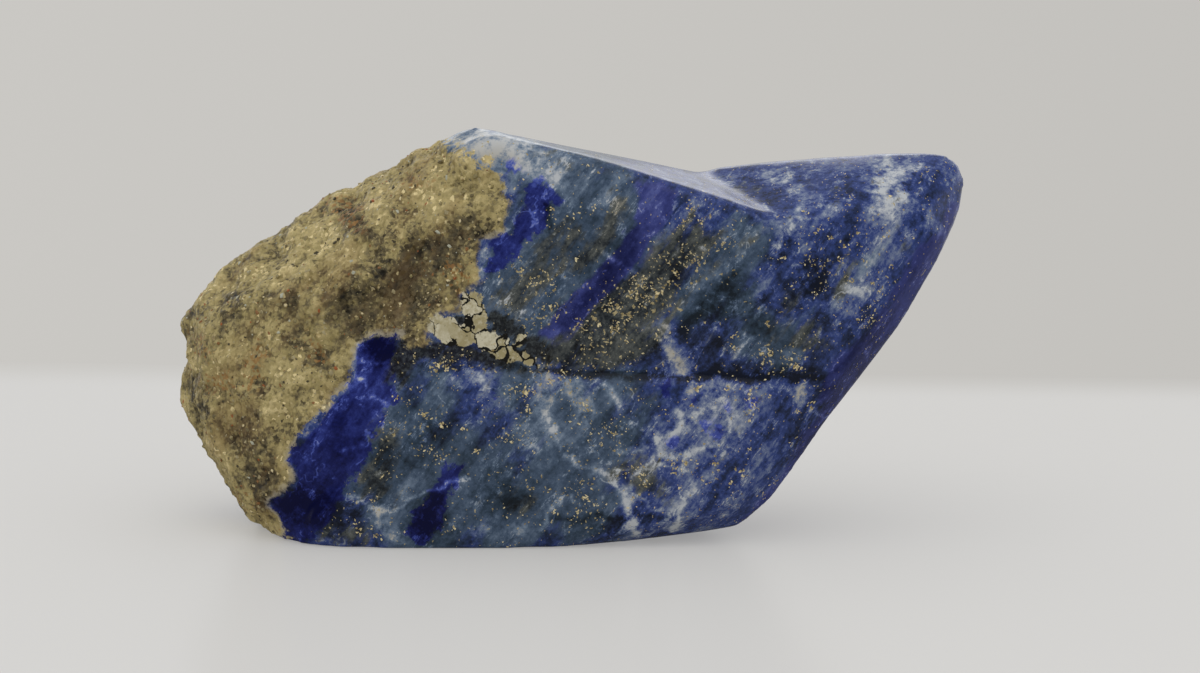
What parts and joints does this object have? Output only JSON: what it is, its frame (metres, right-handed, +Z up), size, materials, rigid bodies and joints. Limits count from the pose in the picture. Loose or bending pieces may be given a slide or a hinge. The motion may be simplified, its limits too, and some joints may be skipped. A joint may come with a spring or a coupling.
{
  "type": "lapis lazuli freeform",
  "caption": "Polished freeform of lapis lazuli with a pointed horn at one end, a ledge across its front, raw matrix at the other end and a small flat to stand on.",
  "frame": {"origin": "centre of the stone's outline on the table, at the height of the flat it stands on", "axes": "+X along the stone from its raw end to its horn, +Y from its polished front to its back, +Z up"},
  "size_m": [0.1024, 0.0404, 0.0527],
  "materials": {
    "lapis": "polished blue stone, with raw olive-brown matrix at one end"
  },
  "bodies": {
    "root": {"lapis_freeform": "lapis"}
  },
  "joints": []
}
